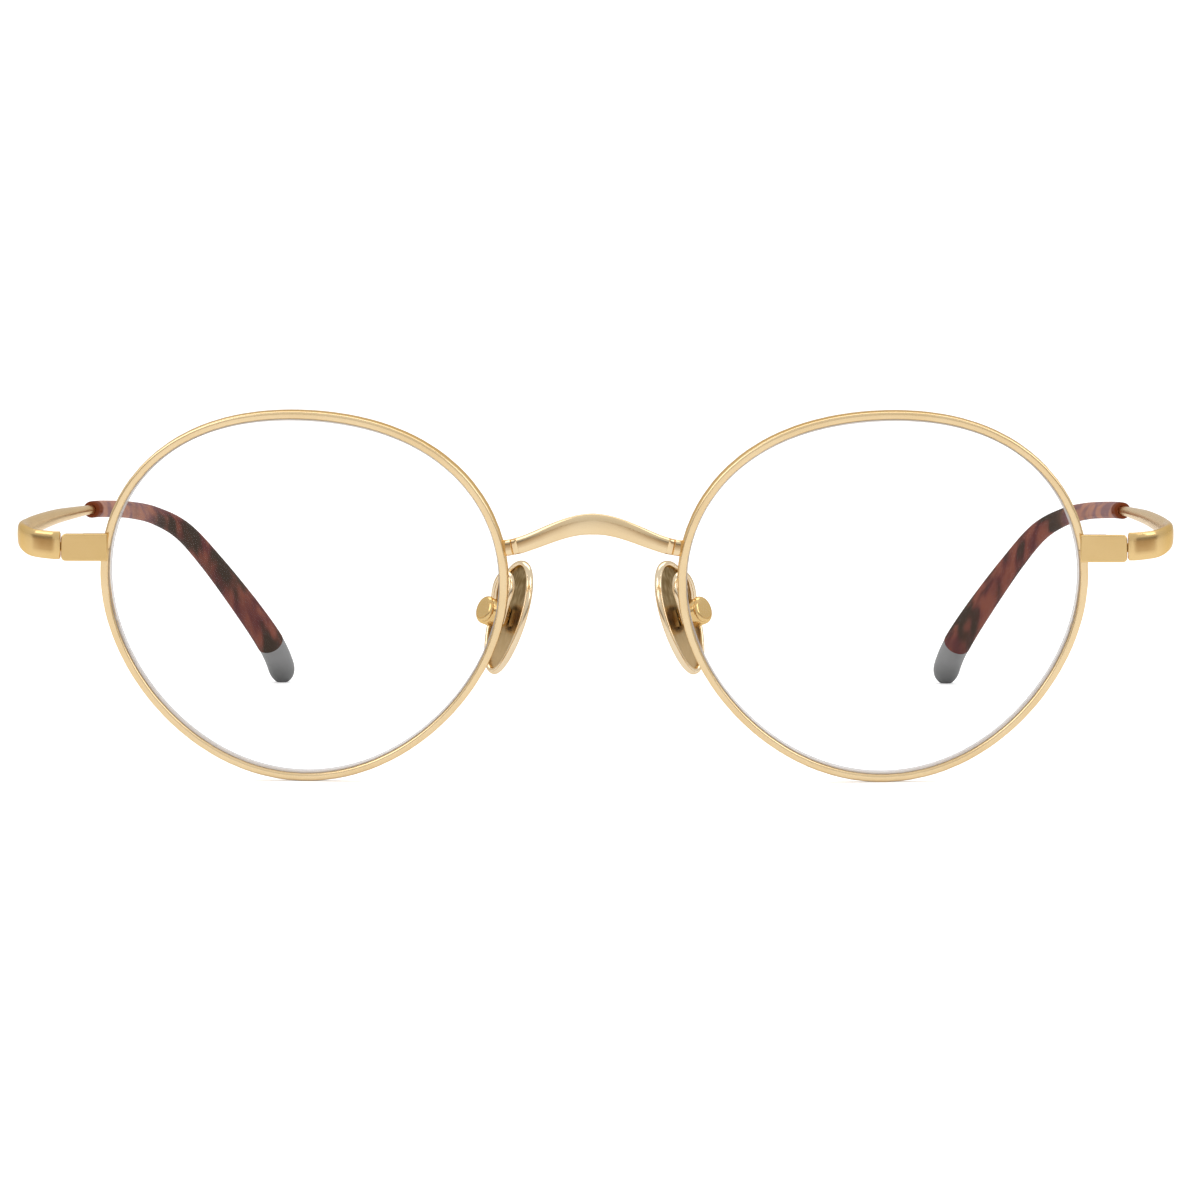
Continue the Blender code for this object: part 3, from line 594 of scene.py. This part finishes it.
# %% Left eyewire
w = RIM_HALF_WIDTH
d = RIM_HALF_DEPTH
lip = 0.49 * MM
wire_section = eased([
    (w, d, 0.34 * MM), (w, -d, 0.22 * MM), (-w, -d, 0.16 * MM), (-w, -lip, 0.04 * MM),
    (-w + GROOVE, 0, 0), (-w, lip, 0.04 * MM), (-w, d, 0.34 * MM)])
RIM_STATIONS = 240
RIM_HALF_GAP = 0.06 * MM
half_gap = RIM_HALF_GAP / RIM_RADIUS
rim_rings = []
for k in range(RIM_STATIONS + 1):
    turn = between(SPLIT + half_gap, SPLIT + TURN - half_gap, k / RIM_STATIONS)
    rim_rings.append([rim_plane @ outline_point(turn, w - p.x, p.y) for p in wire_section])
rim = lofted(rim_rings, 40)
give(rim, [satin_gold])
both_sides(rim, "rim", "front", "eyewire")

# %% [markdown]
# ## Lenses
#
# The lens is a meniscus: both faces bulge forward by the same amount, so it has no power. Its
# edge is ground to a V that sits in the groove. The rings run from the middle of the front face,
# over the V, to the middle of the back face. Faces near the edge take the frosted finish.

# %% Left lens
LENS_HALF = 0.6 * MM
APEX = 2 * w - GROOVE + 0.06 * MM
SHOULDER = APEX + LENS_HALF * GROOVE / lip
BULGE_RADIUS = 120 * MM
LENS_SIDES = 180


def bulge(radius):
    return ((RIM_RADIUS - SHOULDER) ** 2 - radius ** 2) / (2 * BULGE_RADIUS)


def lens_ring(share, height, inset=SHOULDER):
    ring = []
    for k in range(LENS_SIDES):
        point = outline_point(SPLIT + TURN * k / LENS_SIDES, inset) * share
        point.z = height + (bulge(point.length) if inset == SHOULDER else 0)
        ring.append(rim_plane @ point)
    return ring


FACE_SHARES = (0.02, 0.15, 0.3, 0.45, 0.6, 0.75, 0.88, 0.96, 0.996, 1)
front_face = [lens_ring(share, LENS_HALF) for share in FACE_SHARES]
back_face = [lens_ring(share, -LENS_HALF) for share in reversed(FACE_SHARES)]
lens_left = lofted([*front_face, lens_ring(1, 0, APEX), *back_face], 25)
to_plane = rim_plane.inverted()


def is_bevel(face):
    """True on the ground V and on the narrow safety chamfer inside it, at the back."""
    at = to_plane @ face.center
    inset = outline_radius(math.atan2(at.y, at.x)) - at.xy.length
    return inset < SHOULDER or (inset < SHOULDER + 0.08 * MM and at.z < 0)


give(lens_left, [clear_lens, frosted_edge], lambda face: int(is_bevel(face)))
both_sides(lens_left, "lens", "front", "demo_lens")

# %% [markdown]
# ## Bridge
#
# The bridge is a domed band that arches forward and up between the eyewires. Each end stops in a
# small tab, a little lower than the band, with a fine groove where the two meet and a bright
# chamfer beside it. One loft from side to side makes all of that: the stations crowd together at
# the groove, and each one sets its own height, thickness and how far forward it stands.

# %% Bridge
BRIDGE_REACH = 10.6 * MM
BRIDGE_RISE = 2.95 * MM
BRIDGE_BOW = 1.9 * MM
BRIDGE_AHEAD = 2.65 * MM
BRIDGE_END_Z = 28.05 * MM
BRIDGE_HALF_HEIGHT = 1.25 * MM
BRIDGE_END_HALF_HEIGHT = 0.98 * MM
BRIDGE_THICK = 0.588


def bridge_point(x):
    """The middle line: it rises like a saddle and bows forward."""
    share = min(abs(x) / BRIDGE_REACH, 1)
    rise = BRIDGE_RISE * (0.5 + 0.5 * math.cos(math.pi * share)) ** 0.85
    bow = BRIDGE_BOW * (1 - share ** 2)
    return Vector((x, FRONT_Y - BRIDGE_AHEAD - bow, BRIDGE_END_Z + rise))


# Distance from the middle in mm, share of the full height, half thickness in mm.
END_STATIONS = [
    (8.55, 1.0, BRIDGE_THICK), (8.66, 1.0, BRIDGE_THICK), (8.72, 0.99, 0.56), (9.0, 0.98, 0.53),
    (9.30, 0.97, 0.50), (9.36, 0.955, 0.42), (9.40, 0.95, 0.38), (9.44, 0.955, 0.42),
    (9.50, 0.97, 0.47), (10.0, 0.97, 0.47), (10.6, 0.97, 0.47)]
BAND_REACH = 8.4
BAND_STATIONS = 28
band = [(BAND_REACH * k / BAND_STATIONS, 1.0, BRIDGE_THICK) for k in range(BAND_STATIONS + 1)]
right_half = band + END_STATIONS
stations = [(-x, high, thick) for x, high, thick in reversed(right_half)] + right_half[1:]
bridge_rings = []
for x, high, thick in stations:
    at = bridge_point(x * MM)
    ahead = (bridge_point((x + 0.2) * MM) - bridge_point((x - 0.2) * MM)).normalized()
    share = abs(x) * MM / BRIDGE_REACH
    half_height = between(BRIDGE_HALF_HEIGHT, BRIDGE_END_HALF_HEIGHT, share * 1.4) * high
    backward = Vector((0, (BRIDGE_THICK - thick) * MM, 0))
    bridge_rings.append(oval(at + backward, ahead, thick * MM, half_height, 40, 0.5))
bridge = lofted(bridge_rings, 30)
give(bridge, [bright_gold])
hand_over(bridge, "bridge", "front", "saddle_bridge")
print("bridge", len(bridge.data.polygons), "faces")

# %% [markdown]
# ## Endpieces
#
# The endpiece is a small block brazed over the front of the eyewire. Seen from the front it is a
# rectangle with softly rounded outer corners. Its outline is drawn flat, extruded backwards, cut
# across, and only the outer part is extruded again, so it steps round the back of the eyewire.
# Then its edges are bevelled, because a bevel is what catches the light.

# %% Left endpiece
LUG_IN = 57.35 * MM
LUG_OUT = 62.87 * MM
LUG_HALF = 1.6 * MM
LUG_FRONT = FRONT_Y - 0.45 * MM
LUG_STEP = 58.75 * MM
LUG_DEPTH = 1.0 * MM
LUG_OUTER_DEPTH = 0.4 * MM
LUG_BEVEL = 0.13 * MM
block_outline = eased([
    (LUG_IN, -LUG_HALF, 0.20 * MM), (LUG_OUT, -LUG_HALF, 0.62 * MM),
    (LUG_OUT, LUG_HALF, 0.62 * MM), (LUG_IN, LUG_HALF, 0.20 * MM)], 6)


def extruded(outline, front, depth):
    """A flat outline in x and z, filled, extruded towards the back and turned outwards."""
    fresh()
    bpy.ops.mesh.primitive_circle_add(vertices=len(outline), radius=1, fill_type="NGON")
    obj = bpy.context.object
    for vertex, point in zip(obj.data.vertices, outline):
        vertex.co = (point.x, front, HINGE.z + point.y)
    bpy.ops.object.mode_set(mode="EDIT")
    bpy.ops.mesh.select_all(action="SELECT")
    bpy.ops.mesh.extrude_region_move(TRANSFORM_OT_translate={"value": (0, depth, 0)})
    bpy.ops.mesh.select_all(action="SELECT")
    bpy.ops.mesh.normals_make_consistent(inside=False)
    return obj


endpiece = extruded(block_outline, LUG_FRONT, LUG_DEPTH)
pick(endpiece, faces=lambda face: face.normal.y > 0.9)
bpy.ops.mesh.bisect(plane_co=(LUG_STEP, 0, 0), plane_no=(1, 0, 0))
pick(endpiece, faces=lambda face: face.normal.y > 0.9 and face.calc_center_median().x > LUG_STEP)
bpy.ops.mesh.extrude_region_move(TRANSFORM_OT_translate={"value": (0, LUG_OUTER_DEPTH, 0)})
pick(endpiece, edges=lambda edge: len(edge.link_faces) == 2 and edge.calc_face_angle(0) > 1
     and all(v.co.y < LUG_FRONT + 0.1 * MM for v in edge.verts))
bpy.ops.mesh.bevel(offset=LUG_BEVEL, segments=4, profile=0.5)
pick(endpiece, faces=lambda face: face.normal.y < -0.999 and face.calc_area() > 1 * MM ** 2)
bpy.ops.mesh.inset(thickness=0.02 * MM)
bpy.ops.object.mode_set(mode="OBJECT")
closed_up(endpiece, 30)
give(endpiece, [deep_gold])
both_sides(endpiece, "endpiece", "front", "endpiece_block")

# %% [markdown]
# ## Hinge, rim lock and pad lug
#
# These are small milled parts. Their solids already have the right shape, with knuckles, bores
# and slots, but their edges are perfectly sharp. A copy of each solid is merged, its flat faces
# are joined, and every sharp edge gets a small bevel.

# %% Milled parts


def milled(node, bevel):
    """A copy of a solid with its flat faces joined and its sharp edges broken."""
    fresh()
    obj = frame["nodes"][node].copy()
    obj.data = obj.data.copy()
    for key in [key for key in obj.keys() if key.startswith("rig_")]:
        del obj[key]
    obj.parent = None
    bpy.context.scene.collection.objects.link(obj)
    obj.hide_render = False
    obj.hide_viewport = False
    obj.select_set(True)
    bpy.context.view_layer.objects.active = obj
    bpy.ops.object.mode_set(mode="EDIT")
    bpy.ops.mesh.select_all(action="SELECT")
    bpy.ops.mesh.customdata_custom_splitnormals_clear()
    bpy.ops.mesh.remove_doubles(threshold=0.001 * MM)
    bpy.ops.mesh.dissolve_limited(angle_limit=math.radians(2))
    bpy.ops.object.mode_set(mode="OBJECT")
    edges = obj.modifiers.new("broken_edges", "BEVEL")
    edges.width = bevel * MM
    edges.segments = 2
    edges.limit_method = "ANGLE"
    edges.angle_limit = math.radians(35)
    edges.use_clamp_overlap = True
    bpy.ops.object.modifier_apply(modifier=edges.name)
    bpy.ops.object.shade_smooth_by_angle(angle=math.radians(30))
    return obj


for node, name, body, slot, finish, bevel in (
        ("lock_block_upper", "upper_lock_block", "front", "gold_plate", satin_gold, 0.08),
        ("lock_block_lower", "lower_lock_block", "front", "gold_plate", satin_gold, 0.08),
        ("lock_screw", "rim_lock_screw", "front", "screw_metal", screw_gold, 0.03),
        ("hinge_front", "front_knuckles", "front", "gold_plate", satin_gold, 0.06),
        ("hinge_screw", "hinge_pin", "front", "gold_plate", screw_gold, 0.03),
        ("hinge_temple", "middle_knuckle", "temple", "gold_plate", satin_gold, 0.05),
        ("pad_lug", "pad_stem", "pad", "pad_metal", bright_gold, 0.05),
        ("pad_screw", "pad_pin", "front", "pad_metal", screw_gold, 0.03)):
    part = milled(node + "_left", bevel)
    give(part, [finish])
    both_sides(part, node, body, name)

# %% [markdown]
# ## Temples
#
# Each temple is one piece of wire. At the hinge it is rolled into a flat band that turns the
# corner, then it narrows to a round wire and runs on inside the sleeve. The line is the same one
# the solid follows. The section changes along it, so the loft sets it at each station.

# %% The line of the temple
ROUTE = [(62.96, 0.10, 28.15), (64.0, 0.13, 28.17), (66.3, 1.25, 28.4), (67.85, 4.4, 28.9),
         (68.4, 9, 29.2), (68.5, 20, 29.3), (68.4, 42, 28.95), (68.2, 60, 28.4),
         (67.75, 80, 27.7), (66.4, 87, 27.4), (64.0, 96, 26.7), (61.4, 103, 25.5),
         (58.35, 110, 23.0), (55.15, 118, 18.2), (51.1, 127, 11.3), (48.3, 133.6, 5.9),
         (47.0, 136.3, 2.36), (46.9, 137.95, 0.06)]
route = [Vector((x, y, z)) * MM + Vector((0, FRONT_Y, 0)) for x, y, z in ROUTE]
MOUTH = 8
CAP = 15
FINE = 8
path = smooth_path(route, FINE)
heading = headings(path)
print("temple line", round(sum((b - a).length for a, b in zip(path, path[1:])), 4), "m long")

# %% Left temple
WIRE = 0.62 * MM
BAND_THIN = 0.53 * MM
SHAFT_THIN = 0.58 * MM
BAND_HIGH = 1.65 * MM
SHAFT_HIGH = 1.22 * MM
CORNER_LENGTH = 14
SHAFT_LENGTH = 64
temple_rings = []
for k in range((CAP - 1) * FINE + 1):
    back_from_hinge = (path[k].y - FRONT_Y) / MM
    taper = back_from_hinge / CORNER_LENGTH
    thin = between(BAND_THIN, SHAFT_THIN, taper)
    high = between(BAND_HIGH, SHAFT_HIGH, taper)
    to_wire = (back_from_hinge - CORNER_LENGTH) / SHAFT_LENGTH
    thin = between(thin, WIRE, to_wire)
    high = between(high, WIRE, to_wire)
    boxy = between(0.45, 1, taper)
    temple_rings.append(oval(path[k], heading[k], thin, high, 32, boxy))
butt = temple_rings[0]
middle = sum(butt, Vector()) / len(butt)
chamfer = [middle + (p - middle) * 0.86 for p in butt]
shift = heading[0] * 0.10 * MM
temple_rings = [chamfer, [p + shift for p in butt], *temple_rings[1:]]
temple = lofted(temple_rings, 35)
give(temple, [deep_gold])
both_sides(temple, "temple", "temple", "temple_wire")

# %% [markdown]
# ## Sleeves
#
# The sleeve is a tube of acetate pushed over the wire. It has a rounded lip at its mouth and it
# grows thicker towards the ear. The rings run from the claw forward along the outside, over the
# lip, and back inside along the bore, which makes one closed skin with a real hole.

# %% Left sleeve
first = MOUTH * FINE
last = CAP * FINE
core_end = (CAP - 1) * FINE
SLEEVE_SIDES = 40
# The outer radius at distances behind the rims' centres, both in mm.
SLEEVE_RADII = ((80, 1.1), (94, 1.12), (103, 1.2), (110, 1.36), (118, 1.5), (127, 1.78),
                (133.6, 1.92))


def sleeve_radius(point):
    from_front = (point.y - FRONT_Y) / MM
    for (near, thin), (far, thick) in zip(SLEEVE_RADII, SLEEVE_RADII[1:]):
        if from_front <= far:
            break
    return between(thin, thick, (from_front - near) / (far - near)) * MM


outside = []
for k in range(last, first, -1):
    radius = sleeve_radius(path[k])
    outside.append(oval(path[k], heading[k], radius, radius, SLEEVE_SIDES))
lip_rings = []
LIP = 0.45 * MM
LIP_STEPS = 6
MOUTH_RADIUS = SLEEVE_RADII[0][1] * MM
for step in range(LIP_STEPS + 1):
    angle = step / LIP_STEPS * math.pi / 2
    radius = MOUTH_RADIUS - LIP * (1 - math.cos(angle))
    centre = path[first] + heading[first] * LIP * (1 - math.sin(angle))
    lip_rings.append(oval(centre, heading[first], radius, radius, SLEEVE_SIDES))
bore = WIRE + 0.03 * MM
CORE_ROOM = 0.3 * MM
inside = [oval(path[k], heading[k], bore, bore, SLEEVE_SIDES)
          for k in range(first, core_end + 1, 2)]
inside.append([p + heading[core_end] * CORE_ROOM for p in inside[-1]])
sleeve = lofted([*outside, *lip_rings, *inside], 35)
give(sleeve, [acetate])
both_sides(sleeve, "sleeve", "temple", "tortoise_sleeve")

# %% [markdown]
# ## Claws
#
# The grey claw closes the sleeve. It follows the last of the line and rounds off to a blunt end,
# with a small flat where it stands on the table.

# %% Left claw
CLAW_STEPS = 16
CLAW_RADIUS = 1.87 * MM
CLAW_GAP = 0.03 * MM
claw_path = smooth_path(route[CAP - 1:], CLAW_STEPS)
claw_heading = headings(claw_path)
claw_rings = []
for k in range(CLAW_STEPS, len(claw_path)):
    share = max(k - 2 * CLAW_STEPS, 0) / CLAW_STEPS
    radius = CLAW_RADIUS * math.sqrt(max(1 - share ** 2, 0.01))
    centre = claw_path[k] + claw_heading[k] * CLAW_GAP * (k == CLAW_STEPS)
    ring = oval(centre, claw_heading[k], radius, radius, 40)
    claw_rings.append([Vector((p.x, p.y, max(p.z, 0))) for p in ring])
claw = lofted(claw_rings, 40)
give(claw, [grey_acetate])
both_sides(claw, "tip_cap", "temple", "grey_claw")

# %% [markdown]
# ## Nose pads
#
# The pads are metal, a long oval dish with a round bright border and a brushed floor. The dish
# faces the lens and its smooth back faces the nose. Rings from the middle of the floor out over
# the border and round to the middle of the back make the whole shape.

# %% The pad's plane
PAD_CENTRE = Vector((10.1, 4.6, 19.3)) * MM + Vector((0, FRONT_Y, 0))
PAD_SCREW_BEHIND = 1.75 * MM
SPLAY = math.radians(35)
FRONTAL = math.radians(18)
nose = Vector((-math.cos(SPLAY), math.sin(SPLAY), 0))
across = Vector((math.sin(SPLAY), math.cos(SPLAY), 0))
pad_turn = Matrix((across, nose.cross(across), nose)).transposed().to_4x4()
pad_plane = Matrix.Translation(PAD_CENTRE) @ Matrix.Rotation(-FRONTAL, 4, across) @ pad_turn
nose = pad_plane.to_3x3() @ Vector((0, 0, 1))
screw_error = (PAD_CENTRE - nose * PAD_SCREW_BEHIND - PAD_SCREW).length
print("pad faces", nose, "screw off by", screw_error)

# %% Left nose pad
PAD_HALF_WIDTH = 3.7 * MM
PAD_HALF_HEIGHT = 7.0 * MM
BORDER = 0.75 * MM
PAD_SIDES = 96


def pad_ring(inset, share, depth):
    ring = []
    for k in range(PAD_SIDES):
        turn = TURN * k / PAD_SIDES
        narrow = 1 - 0.10 * math.sin(turn)
        x = (PAD_HALF_WIDTH * narrow - inset * BORDER) * math.cos(turn) * share
        y = (PAD_HALF_HEIGHT - inset * BORDER) * math.sin(turn) * share
        ring.append(pad_plane @ Vector((x, y, depth * MM)))
    return ring


# Shares of the border's width in from its outer edge, and depths in mm.
border = [(0.96, -0.28), (0.93, -0.42), (0.84, -0.55), (0.70, -0.64), (0.52, -0.68),
          (0.34, -0.65), (0.18, -0.56), (0.07, -0.42), (0.01, -0.24), (0, -0.05), (0.06, 0.08),
          (0.18, 0.17), (0.35, 0.24), (0.6, 0.29), (1.0, 0.33)]
floor_rings = [pad_ring(1, share, -0.25 + 0.05 * share ** 2)
               for share in (0.05, 0.3, 0.6, 0.85, 1)]
back_rings = [pad_ring(1, share, 0.36 - 0.03 * share ** 2) for share in (0.7, 0.4, 0.05)]
pad = lofted([*floor_rings, *[pad_ring(inset, 1, depth) for inset, depth in border],
              *back_rings], 40)
to_pad = pad_plane.inverted()


def on_floor(face):
    at = to_pad @ face.center
    far = math.hypot(at.x / (PAD_HALF_WIDTH - BORDER), at.y / (PAD_HALF_HEIGHT - BORDER))
    return far < 1 and at.z < 0


give(pad, [pale_gold, pad_floor], lambda face: int(on_floor(face)))
both_sides(pad, "nose_pad", "pad", "dished_pad")

# %% [markdown]
# ## Pad boxes and arms
#
# The box is a little round cup that holds the pad's stem. It starts as a cone, its edges are
# bevelled until it looks like a button, and a slot is cut across its mouth for the stem, with a
# bore for the screw. The arm is a flat strip, bent up from the back of the eyewire, over, and
# down to the box.

# %% Cutting with a helper piece


def cut(obj, cutter):
    """Cuts one piece out of another and removes the cutter."""
    fresh()
    obj.select_set(True)
    bpy.context.view_layer.objects.active = obj
    knife = obj.modifiers.new("cut", "BOOLEAN")
    knife.operation = "DIFFERENCE"
    knife.solver = "EXACT"
    knife.object = cutter
    bpy.ops.object.modifier_apply(modifier=knife.name)
    bpy.data.objects.remove(cutter)


def placed(obj, turn, place):
    """Turns an object that was made upright, moves it, and puts the result in its mesh."""
    obj.data.transform(Matrix.Translation(place) @ turn)
    return obj


# %% Left pad box
BOX_RADIUS = 1.78 * MM
BOX_END_RADIUS = 1.66 * MM
BOX_LENGTH = 2.9 * MM
BOX_BEHIND_SCREW = 0.75 * MM
SLOT_WIDTH = 1.12 * MM
SLOT_HEIGHT = 2.9 * MM
SLOT_DEPTH = 3.1 * MM
# The bore for the screw and the seat for its head: radius, length and place along it, in mm.
DRILLS = ((0.43, 8.0, 0.0), (0.70, 1.06, -1.75))
fresh()
bpy.ops.mesh.primitive_cone_add(vertices=64, radius1=BOX_RADIUS, radius2=BOX_END_RADIUS,
                                depth=BOX_LENGTH)
pad_box = bpy.context.object
bpy.ops.object.mode_set(mode="EDIT")
pick(pad_box, edges=lambda edge: edge.verts[0].co.z > 0 and edge.verts[1].co.z > 0)
bpy.ops.mesh.bevel(offset=0.6 * MM, segments=6, profile=0.55)
pick(pad_box, edges=lambda edge: max(v.co.z for v in edge.verts) < -BOX_LENGTH / 2 + 1e-6)
bpy.ops.mesh.bevel(offset=0.2 * MM, segments=3, profile=0.5)
bpy.ops.object.mode_set(mode="OBJECT")
box_turn = (-nose).to_track_quat("Z", "Y").to_matrix().to_4x4()
placed(pad_box, box_turn, PAD_SCREW - nose * BOX_BEHIND_SCREW)

pad_frame = Matrix((across, nose.cross(across), nose)).transposed().to_4x4()
fresh()
bpy.ops.mesh.primitive_cube_add(size=1)
slot_size = Matrix.Diagonal((SLOT_WIDTH, SLOT_HEIGHT, SLOT_DEPTH, 1))
stem_slot = placed(bpy.context.object, pad_frame @ slot_size, PAD_SCREW + nose * 0.7 * MM)
cut(pad_box, stem_slot)
screw_turn = across.to_track_quat("Z", "Y").to_matrix().to_4x4()
for radius, length, shift in DRILLS:
    fresh()
    bpy.ops.mesh.primitive_cylinder_add(vertices=32, radius=radius * MM, depth=length * MM)
    drill = placed(bpy.context.object, screw_turn, PAD_SCREW + across * shift * MM)
    cut(pad_box, drill)
closed_up(pad_box, 35)
give(pad_box, [deep_gold])
both_sides(pad_box, "pad_box", "front", "pad_cup")

# %% Left pad arm
BENDS = [(10.95, -0.30, 19.0), (10.35, -0.12, 21.1), (9.75, 0.25, 23.0), (9.85, 0.85, 24.35),
         (10.6, 1.65, 24.75), (11.3, 2.3, 23.9), (11.7, 2.7, 22.5), (11.8, 2.9, 21.0)]
bends = [Vector((x, y, z)) * MM + Vector((0, FRONT_Y, 0)) for x, y, z in BENDS]
arm_path = smooth_path(bends, 6)
ARM_HALF_WIDTH = 0.42 * MM
ARM_HALF_THICKNESS = 0.3 * MM
STRIP_FACES = Vector((0.6, 0.8, 0))
arm_rings = [oval(p, t, ARM_HALF_WIDTH, ARM_HALF_THICKNESS, 24, 0.7, STRIP_FACES)
             for p, t in zip(arm_path, headings(arm_path))]
arm = lofted(arm_rings, 35)
give(arm, [pale_gold])
both_sides(arm, "pad_arm", "front", "pad_arm_strip")

# %% [markdown]
# ## The end

# %% Last update
bpy.context.view_layer.update()
